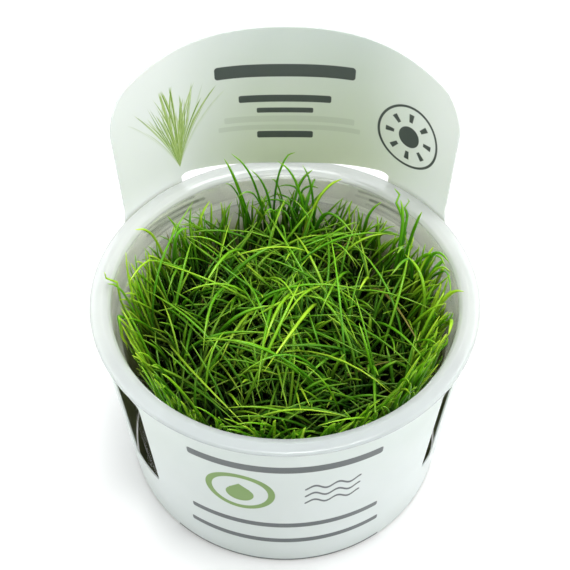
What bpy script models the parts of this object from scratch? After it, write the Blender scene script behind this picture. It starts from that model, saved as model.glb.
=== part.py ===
# Dwarf hairgrass growing in a clear lidless cup with a printed foil sleeve.
# The cup stands on z = 0 with its axis on Z. The sleeve's tall tongue is at +Y, the front at -Y.
# All driving dimensions are in millimetres and angles in degrees, measured from +Y towards +X.

import math
import random

import bmesh
import bpy
import numpy
from mathutils import Matrix, Vector

MM = 0.001

# Cup: thin-walled, with a flat flange round its mouth and a stacking ledge inside
RIM_RADIUS = 40.0
CUP_HEIGHT = 50.0
MOUTH_RADIUS = 35.8
WALL = 0.95
FLOOR = 1.2
FLANGE = 1.0
BASE_RADIUS = 35.0
LEDGE_HEIGHT = 41.3
LEDGE_STEP = 0.7
LEDGE_RISE = 0.6
LOWER_DRAFT = 0.6
UPPER_DRAFT = 0.45
MOUTH_EASE = 0.05
FLOOR_CURVE = (1.2, 1.4)
FOOT_BEVEL = (1.0, 1.4)
LIP = ((0.5, 0.5), (1.7, 1.0))
LIP_UNDER = 1.5
RIM_BEVEL = 0.4
NECK_DROP = 0.6
CUP_SEGMENTS = 48

# Sleeve: one sheet round the cup, with two side windows, a slot for the flange and a tongue
SHEET = 0.35
SLEEVE_BOTTOM = 0.4
SLEEVE_TOP = 48.3
FOOT_RADIUS = 36.6
SHOULDER_RADIUS = 38.7
TONGUE_RADIUS = 40.45
HOOK_RADIUS = 38.0
TONGUE_FLARE = 0.3
HOOK_FLARE = 1.0
TONGUE_HALF_ANGLE = 60.0
TONGUE_TOP = 85.7
TONGUE_ARC = 122.0
TONGUE_CORNER = 6.5
SLOT_HALF_ANGLE = 36.0
SLOT_BOTTOM = 46.0
SLOT_TOP = 50.32
SLOT_RISE = 1.3
SLOT_END = 2.2
SLOT_END_REACH = 1.5
SLOT_TOP_SHARE = 0.6
SHOULDER_DROP = 1.2
SHOULDER_SPAN = 10.0
BLEND_START = 3.0
BLEND_SPAN = 12.0
WINDOWS = ((-134.5, -120.0), (122.5, 128.5))
WINDOW_BOTTOM = 16.0
WINDOW_TOP = 46.0
WINDOW_CORNER = 1.6
COLUMN_PITCH = 9
TONGUE_COLUMNS = (0.0, 1.4, 3.6, 6.5)
SHOULDER_COLUMNS = (2.0, 7.0, 11.0)
SLOT_COLUMNS = (0.0, 0.25, 1.0)
WINDOW_COLUMNS = (0.0, 0.5, 1.0)
TONGUE_ROWS = (0.35, 0.7, 1.0)
SHARP_EDGE = 40.0

# Nutrient gel in the bottom of the cup
GAP = 0.3
GEL_TOP = 14.0
GEL_MENISCUS = (2.2, 0.7)
GEL_SHOULDER = 4.0
GEL_CURVE = 1.6
GEL_SEGMENTS = 32

# Grass: tufts on the gel, each a low crown with tapering blades
TUFTS = 44
TUFT_FIELD = 31.0
CROWN_RADIUS = 2.1
CROWN_HEIGHT = 2.0
BLADES_PER_TUFT = 9
BLADE_RADIUS = 0.6
TIP_RADIUS = 0.18
BLADE_RINGS = (0.42, 0.74)
TALL_RINGS = (0.36, 0.62, 0.84)
BLADE_SHARP_EDGE = 75.0
CANOPY = (31.5, 43.5)
TIP_REACH = (5.0, 18.0)
KNEE_REACH = (0.05, 0.45)
KNEE_RISE = (0.65, 1.0)
BLADE_CLEARANCE = 0.35
ROOT_CLEARANCE = 0.1
WALL_CLEARANCE = 1.0
CROWN_CLEARANCE = 1.1
LOWEST_BEND = 1.3
OVER_RIM = 1.2
CROWN_TURN = 1.3
BLADE_SAMPLES = 30
ROOT_SAMPLES = 2
PORT_ALIGNMENT = 0.55
PORT_SLOPE = 0.1
TALL_SHIFT = 0.02
MOST_TALL = 3
TRIES = 160
GOLDEN_ANGLE = math.pi * (3.0 - math.sqrt(5.0))
SEED = 7

# Tall blades seen above the rest, each as its tip and the knee it bends towards:
# angle, radius and height
TALL_BLADES = (
    ((-24, 33, 58), (-18, 32, 50)),
    ((-21, 33, 59), (-7, 31, 53)),
    ((-15, 32, 55), (-3, 30, 50)),
    ((-3, 32, 56), (13, 30, 53)),
    ((11, 33, 53), (-2, 31, 49)),
    ((7, 32, 55), (16, 30, 50)),
    ((23, 33, 52), (8, 30, 50)),
    ((41, 33, 50), (30, 30, 44)),
    ((50, 33, 54), (59, 32, 50)),
    ((62, 33, 56), (59, 32, 50)),
    ((84, 34, 53), (66, 32, 56)),
    ((87, 34, 52), (76, 31, 54)),
    ((97, 36, 53), (92, 31, 53)),
    ((-40, 33, 48), (-46, 32, 42)),
    ((-52, 33, 50), (-47, 31, 44)),
    ((-69, 34, 54), (-56, 31, 52)),
    ((-82, 33, 55), (-90, 33, 46)),
    ((-94, 36, 53), (-92, 31, 53)),
)

# Blades that stand up along the wall round the front: first and last angle, step, tip and knee
FRONT_ARC = (112, 250, 13)
FRONT_TIP = (33.2, 47.5)
FRONT_KNEE = (31.0, 41.0)


def clear_scene():
    for item in list(bpy.data.objects):
        bpy.data.objects.remove(item, do_unlink=True)


def make_collection(name):
    group = bpy.data.collections.new(name)
    bpy.context.scene.collection.children.link(group)
    return group


def make_material(name, colour, roughness, metallic=0.0, transmission=0.0, ior=1.45):
    material = bpy.data.materials.new(name)
    material.use_nodes = True
    shader = material.node_tree.nodes["Principled BSDF"]
    shader.inputs["Base Color"].default_value = (*colour, 1.0)
    shader.inputs["Roughness"].default_value = roughness
    shader.inputs["Metallic"].default_value = metallic
    shader.inputs["Transmission Weight"].default_value = transmission
    shader.inputs["IOR"].default_value = ior
    return material


def add_object(group, name, mesh, material):
    item = bpy.data.objects.new(name, mesh)
    group.objects.link(item)
    mesh.materials.append(material)
    return item


def smooth_round(mesh, sharp_degrees):
    mesh.shade_smooth()
    mesh.set_sharp_from_angle(angle=math.radians(sharp_degrees))


def ease(value):
    value = min(max(value, 0.0), 1.0)
    return value * value * (3.0 - 2.0 * value)


def polar(angle, radius, height):
    turn = math.radians(angle)
    return Vector((radius * math.sin(turn), radius * math.cos(turn), height))


def turned_object(group, name, profile, segments, material):
    """Turn a profile of radius and height pairs, listed down the outer side, round Z."""
    mesh = bpy.data.meshes.new(name)
    points = [(radius * MM, 0.0, height * MM) for radius, height in profile]
    mesh.from_pydata(points, [(i, i + 1) for i in range(len(points) - 1)], [])
    item = add_object(group, name, mesh, material)
    screw = item.modifiers.new("Turn", "SCREW")
    screw.axis = "Z"
    screw.angle = math.tau
    screw.steps = segments
    screw.render_steps = segments
    screw.use_merge_vertices = True
    screw.merge_threshold = 0.00005
    screw.use_smooth_shade = True
    return item


def wall_inside(height):
    """Radius of the cup's inner wall at a height above the floor's rounded edge."""
    if height <= LEDGE_HEIGHT:
        return BASE_RADIUS - WALL + LOWER_DRAFT * height / LEDGE_HEIGHT
    down = (CUP_HEIGHT - height) / (CUP_HEIGHT - LEDGE_HEIGHT)
    return MOUTH_RADIUS - MOUTH_EASE - UPPER_DRAFT * down


def make_cup(group, material):
    under = CUP_HEIGHT - FLANGE
    shoulder = wall_inside(LEDGE_HEIGHT)
    corner_in, corner_up = FLOOR_CURVE
    bevel_in, bevel_up = FOOT_BEVEL
    neck = MOUTH_RADIUS - MOUTH_EASE
    profile = (
        (0.0, FLOOR),
        (wall_inside(0.0) - corner_in, FLOOR),
        (wall_inside(FLOOR + corner_up), FLOOR + corner_up),
        (shoulder, LEDGE_HEIGHT),
        (shoulder + LEDGE_STEP, LEDGE_HEIGHT + LEDGE_RISE),
        (neck, under - NECK_DROP),
        *((MOUTH_RADIUS + out, under + up) for out, up in LIP),
        (RIM_RADIUS - RIM_BEVEL, CUP_HEIGHT),
        (RIM_RADIUS, CUP_HEIGHT - 0.5 * FLANGE),
        (RIM_RADIUS - RIM_BEVEL, under),
        (MOUTH_RADIUS + LIP_UNDER, under),
        (neck + WALL, under - NECK_DROP),
        (shoulder + LEDGE_STEP + WALL, LEDGE_HEIGHT + LEDGE_RISE),
        (shoulder + WALL, LEDGE_HEIGHT),
        (BASE_RADIUS, bevel_up),
        (BASE_RADIUS - bevel_in, 0.0),
        (0.0, 0.0),
    )
    return turned_object(group, "cup", profile, CUP_SEGMENTS, material)


def make_gel(group, material):
    bottom = FLOOR + GAP
    edge_in, edge_up = GEL_MENISCUS
    profile = (
        (0.0, GEL_TOP),
        (wall_inside(GEL_TOP) - edge_in, GEL_TOP),
        (wall_inside(GEL_TOP) - GAP, GEL_TOP + edge_up),
        (wall_inside(GEL_SHOULDER) - GAP, bottom + GEL_CURVE),
        (wall_inside(0.0) - FLOOR_CURVE[0] - GAP, bottom),
        (0.0, bottom),
    )
    return turned_object(group, "nutrient_gel", profile, GEL_SEGMENTS, material)


def sleeve_radius(angle, height):
    """Inner radius of the sheet: close at the foot, over the flange beside the slot."""
    share = min(height / CUP_HEIGHT, 1.0)
    above = max(height - CUP_HEIGHT, 0.0) / (TONGUE_TOP - CUP_HEIGHT)
    front = FOOT_RADIUS + (SHOULDER_RADIUS - FOOT_RADIUS) * share
    outside = FOOT_RADIUS + (TONGUE_RADIUS - FOOT_RADIUS) * share + TONGUE_FLARE * above
    hook = FOOT_RADIUS + (HOOK_RADIUS - FOOT_RADIUS) * share + HOOK_FLARE * above
    back = hook + (outside - hook) * ease(abs(angle) / SLOT_HALF_ANGLE)
    return back + (front - back) * ease((abs(angle) - TONGUE_HALF_ANGLE - BLEND_START) / BLEND_SPAN)


def tongue_top(angle):
    """Height of the tongue's arched top edge, with its rounded corners."""
    half = TONGUE_RADIUS * math.radians(TONGUE_HALF_ANGLE)
    across = TONGUE_RADIUS * math.radians(min(abs(angle), TONGUE_HALF_ANGLE))
    height = TONGUE_TOP - TONGUE_ARC + math.sqrt(TONGUE_ARC ** 2 - across ** 2)
    past = across - (half - TONGUE_CORNER)
    if past > 0.0:
        height -= TONGUE_CORNER - math.sqrt(max(TONGUE_CORNER ** 2 - past ** 2, 0.0))
    return height


def hole_shrink(angle, start, end, corner, reach):
    """How far a hole's upper and lower edges draw in near its ends, as a rounded corner."""
    degrees = math.degrees(corner / SHOULDER_RADIUS)
    past = max(start + degrees - angle, angle - (end - degrees), 0.0)
    share = min(past / degrees, 1.0)
    return min(corner * (1.0 - math.sqrt(1.0 - share * share)), reach)


def slot_edges(angle):
    shrink = hole_shrink(angle, -SLOT_HALF_ANGLE, SLOT_HALF_ANGLE, SLOT_END, SLOT_END_REACH)
    rise = SLOT_RISE * (abs(angle) / SLOT_HALF_ANGLE) ** 3
    return SLOT_BOTTOM + shrink, SLOT_TOP + rise - shrink * SLOT_TOP_SHARE


def window_at(angle):
    for start, end in WINDOWS:
        if start - 0.01 <= angle <= end + 0.01:
            return start, end
    return None


def sleeve_heights(angle):
    """The sheet's rows at one angle, from its lower edge to its upper one."""
    low, high = WINDOW_BOTTOM, WINDOW_TOP
    window = window_at(angle)
    if window:
        shrink = hole_shrink(angle, *window, WINDOW_CORNER, WINDOW_CORNER)
        low, high = low + shrink, high - shrink
    upper = SLEEVE_TOP
    tongue = abs(angle) <= TONGUE_HALF_ANGLE
    if abs(angle) <= SLOT_HALF_ANGLE:
        high, upper = slot_edges(angle)
    elif tongue:
        high, upper = SLOT_BOTTOM, SLOT_TOP + SLOT_RISE
    elif abs(angle) < TONGUE_HALF_ANGLE + SHOULDER_SPAN:
        upper = SLEEVE_TOP - SHOULDER_DROP
    rows = [SLEEVE_BOTTOM, low, 0.5 * (low + high), high, upper]
    if tongue:
        top = tongue_top(angle)
        rows += [upper + (top - upper) * share for share in TONGUE_ROWS]
    return rows


def sleeve_angles():
    """Column angles: an even pitch, closer at the tongue's corners, slot ends and windows."""
    fixed = set()
    slot_corner = math.degrees(SLOT_END / SHOULDER_RADIUS)
    for side in (-1, 1):
        fixed |= {side * (TONGUE_HALF_ANGLE - step) for step in TONGUE_COLUMNS}
        fixed |= {side * (TONGUE_HALF_ANGLE + step) for step in SHOULDER_COLUMNS}
        fixed |= {side * (SLOT_HALF_ANGLE - slot_corner * step) for step in SLOT_COLUMNS}
    corner = math.degrees(WINDOW_CORNER / SHOULDER_RADIUS)
    for start, end in WINDOWS:
        fixed |= {start + corner * step for step in WINDOW_COLUMNS}
        fixed |= {end - corner * step for step in WINDOW_COLUMNS}
    even = range(-180, 180, COLUMN_PITCH)
    clear = [angle for angle in even if min(abs(angle - edge) for edge in fixed) > 1.0]
    return sorted([*fixed, *clear])


def make_sleeve(group, material):
    angles = sleeve_angles()
    net = bmesh.new()
    columns = []
    for angle in angles:
        column = []
        for height in sleeve_heights(angle):
            point = polar(angle, sleeve_radius(angle, height), height)
            column.append(net.verts.new(point * MM))
        columns.append(column)
    for index, angle in enumerate(angles):
        after = (index + 1) % len(angles)
        middle = 0.5 * (angle + (angles[after] if after else 180.0))
        left, right = columns[index], columns[after]
        for row in range(min(len(left), len(right)) - 1):
            in_window = window_at(middle) and row in (1, 2)
            in_slot = abs(middle) < SLOT_HALF_ANGLE and row == 3
            if not in_window and not in_slot:
                net.faces.new((left[row + 1], right[row + 1], right[row], left[row]))
    net.normal_update()
    mesh = bpy.data.meshes.new("foil_sleeve")
    net.to_mesh(mesh)
    net.free()
    item = add_object(group, "foil_sleeve", mesh, material)
    shell = item.modifiers.new("Sheet", "SOLIDIFY")
    shell.thickness = SHEET * MM
    shell.offset = 1.0
    smooth_round(mesh, SHARP_EDGE)
    return item


def tuft_centres():
    """Tufts spread evenly over the gel in a sunflower pattern."""
    for index in range(TUFTS):
        radius = TUFT_FIELD * math.sqrt((index + 0.5) / TUFTS)
        turn = index * GOLDEN_ANGLE
        yield Vector((radius * math.cos(turn), radius * math.sin(turn), GEL_TOP + GAP))


def blade_line(root, knee, tip):
    """Sample points along a quadratic curve that leaves its root towards the knee."""
    share = numpy.linspace(0.0, 1.0, BLADE_SAMPLES + 1)[:, None]
    near = numpy.array(root) * (1.0 - share) + numpy.array(knee) * share
    far = numpy.array(knee) * (1.0 - share) + numpy.array(tip) * share
    return near * (1.0 - share) + far * share


def blade_radius(share):
    return TIP_RADIUS + (BLADE_RADIUS - TIP_RADIUS) * (1.0 - share ** 1.5)


class Field:
    """Space already taken by blades, as sample points with radii and the tuft they grow on."""

    def __init__(self):
        self.points = numpy.empty((0, 3))
        self.radii = numpy.empty(0)
        self.owners = numpy.empty(0, dtype=int)
        self.profile = blade_radius(numpy.linspace(0.0, 1.0, BLADE_SAMPLES + 1))

    def is_free(self, line, owner):
        reach = BLADE_CLEARANCE + 2.0 * BLADE_RADIUS
        near = (self.points > line.min(axis=0) - reach) & (self.points < line.max(axis=0) + reach)
        near = near.all(axis=1)
        if not near.any():
            return True
        gaps = numpy.linalg.norm(line[:, None] - self.points[near][None], axis=2)
        gaps -= self.profile[:, None] + self.radii[near][None]
        own = self.owners[near] == owner
        gaps[:ROOT_SAMPLES, own] = BLADE_CLEARANCE * 2.0
        near_root = numpy.arange(len(line)) < BLADE_SAMPLES // 3
        gaps[numpy.ix_(near_root, own)] += BLADE_CLEARANCE - ROOT_CLEARANCE
        return bool(gaps.min() > BLADE_CLEARANCE)

    def add(self, line, owner):
        self.points = numpy.vstack((self.points, line))
        self.radii = numpy.concatenate((self.radii, self.profile))
        self.owners = numpy.concatenate((self.owners, numpy.full(len(line), owner)))


def inside_cup(line):
    """Blades stay off the wall, and only reach over the flange above it."""
    radius = numpy.hypot(line[:, 0], line[:, 1])
    height = line[:, 2]
    lower = [wall_inside(min(value, CUP_HEIGHT)) for value in height]
    limit = numpy.where(height < CUP_HEIGHT + OVER_RIM, lower, HOOK_RADIUS) - WALL_CLEARANCE
    return bool((radius < limit).all() and (height > GEL_TOP + LOWEST_BEND).all())


def clear_of_crowns(line, centres, owner):
    others = numpy.array([tuple(c) for i, c in enumerate(centres) if i != owner])
    gaps = numpy.linalg.norm(line[:, None] - others[None], axis=2)
    return bool(gaps.min() > CROWN_RADIUS + CROWN_CLEARANCE)


def crown_ports(net):
    """The crown's small upward faces, from which blades grow."""
    return [face for face in net.faces if face.normal.z > PORT_SLOPE]


def crown_mesh(centre, turn):
    """A low rounded mound, cut flat underneath where it stands on the gel."""
    net = bmesh.new()
    bmesh.ops.create_icosphere(net, subdivisions=2, radius=CROWN_RADIUS)
    geometry = net.verts[:] + net.edges[:] + net.faces[:]
    bmesh.ops.bisect_plane(net, geom=geometry, plane_no=(0, 0, 1), clear_inner=True)
    rim = [edge for edge in net.edges if edge.is_boundary]
    bmesh.ops.holes_fill(net, edges=rim)
    bmesh.ops.recalc_face_normals(net, faces=net.faces[:])
    squash = Matrix.Diagonal((1.0, 1.0, CROWN_HEIGHT / CROWN_RADIUS, 1.0))
    place = Matrix.Translation(centre) @ Matrix.Rotation(turn, 4, "Z") @ squash
    bmesh.ops.transform(net, matrix=place, verts=net.verts[:])
    net.normal_update()
    return net


def grow_blade(net, face, line, rings):
    """Draw a three-sided blade out of one face of the crown and close it in a tip."""
    ring = list(face.verts)
    middle = face.calc_center_median()
    spokes = [(vert.co - middle).normalized() for vert in ring]
    heading = face.normal.copy()
    bmesh.ops.delete(net, geom=[face], context="FACES_ONLY")
    for share in rings:
        index = round(share * BLADE_SAMPLES)
        along = Vector(line[index + 1] - line[index - 1]).normalized()
        turn = heading.rotation_difference(along)
        spokes = [turn @ spoke for spoke in spokes]
        heading = along
        place, radius = Vector(line[index]), blade_radius(share)
        fresh = [net.verts.new(place + spoke * radius) for spoke in spokes]
        for side in range(3):
            after = (side + 1) % 3
            net.faces.new((ring[side], ring[after], fresh[after], fresh[side]))
        ring = fresh
    tip = net.verts.new(line[-1])
    for side in range(3):
        net.faces.new((ring[side], ring[(side + 1) % 3], tip))


def tall_plan(centres):
    """Give each tall blade to the tuft whose centre is nearest to the blade's knee."""
    front = [((angle, *FRONT_TIP), (angle, *FRONT_KNEE)) for angle in range(*FRONT_ARC)]
    plan = {index: [] for index in range(len(centres))}
    for tip, bend in (*TALL_BLADES, *front):
        knee = polar(*bend)
        order = sorted(range(len(centres)), key=lambda i: (centres[i] - knee).xy.length)
        owner = next(index for index in order if len(plan[index]) < MOST_TALL)
        plan[owner].append((knee, polar(*tip)))
    return plan


def random_blade(source, centre):
    """A knee and a tip for a blade that rises, leans in a random direction and arches over."""
    lean = source.uniform(0.0, math.tau)
    side = Vector((math.cos(lean), math.sin(lean), 0.0))
    reach = source.uniform(*TIP_REACH)
    tip = centre + side * reach
    tip.z = source.uniform(*CANOPY)
    knee = centre + side * reach * source.uniform(*KNEE_REACH)
    knee.z = centre.z + (tip.z - centre.z) * source.uniform(*KNEE_RISE)
    return knee, tip


def plan_blades(nets, centres):
    """Choose every blade's curve so that no two meet, tall ones first."""
    source = random.Random(SEED)
    field = Field()
    chosen = [[] for centre in centres]
    ports = [crown_ports(net) for net in nets]

    def try_blade(index, knee, tip, rings):
        port = source.randrange(len(ports[index]))
        face = ports[index][port]
        root = face.calc_center_median()
        if (knee - root).normalized().dot(face.normal) < PORT_ALIGNMENT:
            return False
        line = blade_line(root, knee, tip)
        if not inside_cup(line[2:]) or not clear_of_crowns(line, centres, index):
            return False
        if not field.is_free(line, index):
            return False
        field.add(line, index)
        chosen[index].append((ports[index].pop(port), line, rings))
        return True

    for index, pairs in tall_plan(centres).items():
        for knee, tip in pairs:
            for attempt in range(TRIES):
                shift = Vector([source.uniform(-TALL_SHIFT, TALL_SHIFT) * attempt for axis in range(3)])
                if try_blade(index, knee + shift, tip + shift * 0.5, TALL_RINGS):
                    break
    for count in range(BLADES_PER_TUFT):
        for index, centre in enumerate(centres):
            for attempt in range(TRIES if len(chosen[index]) <= count else 0):
                if try_blade(index, *random_blade(source, centre), BLADE_RINGS):
                    break
    return chosen


def make_tufts(group, material):
    centres = list(tuft_centres())
    nets = [crown_mesh(centre, index * CROWN_TURN) for index, centre in enumerate(centres)]
    chosen = plan_blades(nets, centres)
    for index, net in enumerate(nets):
        for face, line, rings in chosen[index]:
            grow_blade(net, face, line, rings)
        bmesh.ops.triangulate(net, faces=net.faces[:])
        bmesh.ops.scale(net, vec=(MM, MM, MM), verts=net.verts[:])
        name = f"tuft_{index + 1:02d}"
        mesh = bpy.data.meshes.new(name)
        net.to_mesh(mesh)
        net.free()
        smooth_round(mesh, BLADE_SHARP_EDGE)
        add_object(group, name, mesh, material)


def main():
    clear_scene()
    group = make_collection("dwarf_hairgrass_in_cup")
    clear = make_material("clear_cup", (0.92, 0.95, 0.94), 0.12, 0.0, 0.95, 1.49)
    foil = make_material("sleeve_foil", (0.80, 0.83, 0.80), 0.35)
    gel = make_material("nutrient_gel", (0.72, 0.74, 0.60), 0.15, 0.0, 0.8, 1.34)
    grass = make_material("hairgrass", (0.12, 0.36, 0.03), 0.42)
    make_cup(group, clear)
    make_sleeve(group, foil)
    make_gel(group, gel)
    make_tufts(group, grass)


main()
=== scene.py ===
# Dwarf hairgrass in a clear cup, with a printed foil sleeve round it.
# Lengths are in millimetres until a mesh is made, angles in degrees from the tongue (+Y) towards +X.
import math

import bmesh
import bpy
import numpy as np
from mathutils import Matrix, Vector, noise


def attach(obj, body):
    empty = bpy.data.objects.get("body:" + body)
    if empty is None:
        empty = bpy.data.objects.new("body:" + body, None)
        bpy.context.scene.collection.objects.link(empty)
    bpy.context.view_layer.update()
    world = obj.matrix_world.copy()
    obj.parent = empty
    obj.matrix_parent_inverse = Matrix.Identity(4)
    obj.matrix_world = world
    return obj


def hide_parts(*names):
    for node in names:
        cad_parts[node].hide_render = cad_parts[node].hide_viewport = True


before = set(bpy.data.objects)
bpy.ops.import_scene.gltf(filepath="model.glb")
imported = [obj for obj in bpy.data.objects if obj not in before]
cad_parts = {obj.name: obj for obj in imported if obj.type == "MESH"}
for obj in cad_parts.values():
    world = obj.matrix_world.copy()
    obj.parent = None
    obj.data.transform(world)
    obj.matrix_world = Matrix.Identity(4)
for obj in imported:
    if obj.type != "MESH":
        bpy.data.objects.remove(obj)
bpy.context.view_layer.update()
mm = 0.001
scene = bpy.context.scene
print("frame loaded")


def toLinear(hexColour):
    # an sRGB hex value as the linear colour that shaders take
    shares = [int(hexColour[i:i + 2], 16) / 255 for i in (1, 3, 5)]
    return (*(c / 12.92 if c <= 0.04045 else ((c + 0.055) / 1.055) ** 2.4 for c in shares), 1.0)


def addNode(tree, kind, settings=None, sockets=None):
    # settings are the node's own options; a socket takes a plain value or another node's output
    made = tree.nodes.new(kind)
    for name, value in (settings or {}).items():
        setattr(made, name, value)
    for name, value in (sockets or {}).items():
        if isinstance(value, bpy.types.NodeSocket):
            tree.links.new(value, made.inputs[name])
        else:
            made.inputs[name].default_value = value
    return made


def setStops(made, stops):
    # gives a colour ramp its places and colours
    elements = made.color_ramp.elements
    for position, _ in stops[1:-1]:
        elements.new(position)
    for element, (position, colour) in zip(elements, stops):
        element.position = position
        element.color = toLinear(colour)
    return made.outputs[0]


def startMaterial(name, values):
    material = bpy.data.materials.new(name)
    material.use_nodes = True
    tree = material.node_tree
    shader = tree.nodes["Principled BSDF"]
    for socket, value in values.items():
        shader.inputs[socket].default_value = value
    return material, tree, shader


def finishPiece(item, material, nodes):
    item.data.materials.clear()
    item.data.materials.append(material)
    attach(item, "root")
    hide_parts(*nodes)


def newObject(name, mesh):
    item = bpy.data.objects.new(name, mesh)
    scene.collection.objects.link(item)
    return item


def ease(value):
    value = min(max(value, 0.0), 1.0)
    return value * value * (3.0 - 2.0 * value)


def roundCorners(profile, reach, steps):
    # every inner corner of a profile becomes a short curve that starts up to reach before it
    rounded = [profile[0]]
    for before, corner, after in zip(profile, profile[1:], profile[2:]):
        before, corner, after = Vector(before), Vector(corner), Vector(after)
        start = corner + (before - corner) * min(reach / (before - corner).length, 0.45)
        end = corner + (after - corner) * min(reach / (after - corner).length, 0.45)
        for step in range(steps + 1):
            t = step / steps
            rounded.append(start * (1 - t) ** 2 + corner * 2 * t * (1 - t) + end * t * t)
    return rounded + [profile[-1]]


def turnProfile(name, profile, segments):
    # turns radius and height pairs round Z into one closed body
    net = bmesh.new()
    points = [net.verts.new((radius * mm, 0.0, height * mm)) for radius, height in profile]
    edges = [net.edges.new(pair) for pair in zip(points, points[1:])]
    bmesh.ops.spin(net, geom=points + edges, cent=(0, 0, 0), axis=(0, 0, 1), angle=math.tau, steps=segments)
    bmesh.ops.remove_doubles(net, verts=net.verts[:], dist=0.002 * mm)
    bmesh.ops.recalc_face_normals(net, faces=net.faces[:])
    mesh = bpy.data.meshes.new(name)
    net.to_mesh(mesh)
    net.free()
    mesh.shade_smooth()
    item = newObject(name, mesh)
    item.modifiers.new("Normals", "WEIGHTED_NORMAL")    # long faces stay flat beside rounded edges
    return item


# The cup
cup = {
    "rimRadius": 40.0,
    "height": 50.0,
    "mouthRadius": 35.8,
    "wall": 0.95,
    "floor": 1.2,
    "flange": 1.0,
    "baseRadius": 35.0,
    "ledgeHeight": 41.3,
    "ledgeStep": 0.7,
    "segments": 192,
    "cornerReach": 0.3,
    # painted shade: the flange's tint darkens towards the front
    "frontShadeTint": "#D6DCDD",
    "flangeTint": "#E0E4E2",
    "tintReach": (-36.0, -12.0),    # from the front's tint to the rest's, along Y
    "paintedWallLight": "#F8FBF2",    # painted green bounce light from the grass on the wall
    "clearWall": 0.95,        # share of light that goes through
    "thinWall": 0.65,         # share of the wall with no gleam at all: it is thin and lies close to the sleeve
    "milkyFlange": 0.5,
    "milkStart": 47.4,        # height where the flange's haze begins and where it is full
    "milkFull": 48.8,
    "ledgeHazeAndHighlight": (41.7, 1.1, 0.4),    # height, half width and strength of the haze on the ledge, partly a painted highlight along it
}


def wallInside(height):
    share = height / cup["ledgeHeight"]
    low = cup["baseRadius"] - cup["wall"] + (cup["ledgeStep"] - 0.1) * share
    if height <= cup["ledgeHeight"]:
        return low
    above = (cup["height"] - height) / (cup["height"] - cup["ledgeHeight"])
    return cup["mouthRadius"] - 0.05 - 0.45 * above


def clearPolypropyleneMoulded():
    # Clarified polypropylene, injection moulded: a glassy wall with a faint waviness from the mould,
    # and a thick flange that looks milky white
    material, tree, shader = startMaterial("clearPolypropyleneMoulded", {
        "IOR": 1.49,
        "Specular IOR Level": 0.12,
    })
    place = addNode(tree, "ShaderNodeTexCoord").outputs["Object"]
    _, depth, height = addNode(tree, "ShaderNodeSeparateXYZ", None, {0: place}).outputs
    flange = addNode(tree, "ShaderNodeMapRange", None, {
        "Value": height, "From Min": cup["milkStart"] * mm, "From Max": cup["milkFull"] * mm}).outputs[0]
    # the ledge's band is partly haze and partly a painted highlight
    middle, half, strength = cup["ledgeHazeAndHighlight"]
    off = addNode(tree, "ShaderNodeMath", {"operation": "SUBTRACT"}, {0: height, 1: middle * mm})
    apart = addNode(tree, "ShaderNodeMath", {"operation": "ABSOLUTE"}, {0: off.outputs[0]})
    ledge = addNode(tree, "ShaderNodeMapRange", None, {
        "Value": apart.outputs[0], "From Max": half * mm, "To Min": strength, "To Max": 0.0})
    milk = addNode(tree, "ShaderNodeMath", {"operation": "MAXIMUM"}, {0: flange, 1: ledge.outputs[0]}).outputs[0]
    clear = addNode(tree, "ShaderNodeMapRange", None, {
        "Value": milk, "To Min": cup["clearWall"], "To Max": cup["milkyFlange"]}).outputs[0]
    tree.links.new(clear, shader.inputs["Transmission Weight"])
    # painted shade: the flange is darker towards the front
    front, rest = cup["tintReach"]
    back = addNode(tree, "ShaderNodeMapRange", None,
                   {"Value": depth, "From Min": front * mm, "From Max": rest * mm})
    white = addNode(tree, "ShaderNodeMix", {"data_type": "RGBA"},
                    {0: back.outputs[0], 6: toLinear(cup["frontShadeTint"]), 7: toLinear(cup["flangeTint"])})
    tint = addNode(tree, "ShaderNodeMix", {"data_type": "RGBA"},
                   {0: milk, 6: toLinear(cup["paintedWallLight"]), 7: white.outputs[2]})
    tree.links.new(tint.outputs[2], shader.inputs["Base Color"])
    haze = addNode(tree, "ShaderNodeTexNoise", None, {"Vector": place, "Scale": 1 / (6 * mm), "Detail": 4.0})
    rough = addNode(tree, "ShaderNodeMapRange", None,
                    {"Value": haze.outputs[0], "From Min": 0.3, "From Max": 0.7, "To Min": 0.05, "To Max": 0.13})
    tree.links.new(rough.outputs[0], shader.inputs["Roughness"])
    waves = addNode(tree, "ShaderNodeTexNoise", None, {"Vector": place, "Scale": 1 / (9 * mm), "Detail": 1.0})
    bump = addNode(tree, "ShaderNodeBump", None,
                   {"Height": waves.outputs[0], "Strength": 0.15, "Distance": 0.2 * mm})
    tree.links.new(bump.outputs[0], shader.inputs["Normal"])
    # lamps shine through the thin wall, so that the grass and the sheet behind it are lit
    path = addNode(tree, "ShaderNodeLightPath")
    through = addNode(tree, "ShaderNodeMath", {"operation": "MULTIPLY"},
                      {0: path.outputs["Is Shadow Ray"], 1: clear})
    thin = addNode(tree, "ShaderNodeMapRange", None, {"Value": milk, "To Min": cup["thinWall"], "To Max": 0.0})
    openShare = addNode(tree, "ShaderNodeMath", {"operation": "MAXIMUM"}, {0: through.outputs[0], 1: thin.outputs[0]})
    bare = addNode(tree, "ShaderNodeBsdfTransparent")
    both = addNode(tree, "ShaderNodeMixShader", None,
                   {0: openShare.outputs[0], 1: shader.outputs[0], 2: bare.outputs[0]})
    tree.links.new(both.outputs[0], tree.nodes["Material Output"].inputs["Surface"])
    return material


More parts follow.
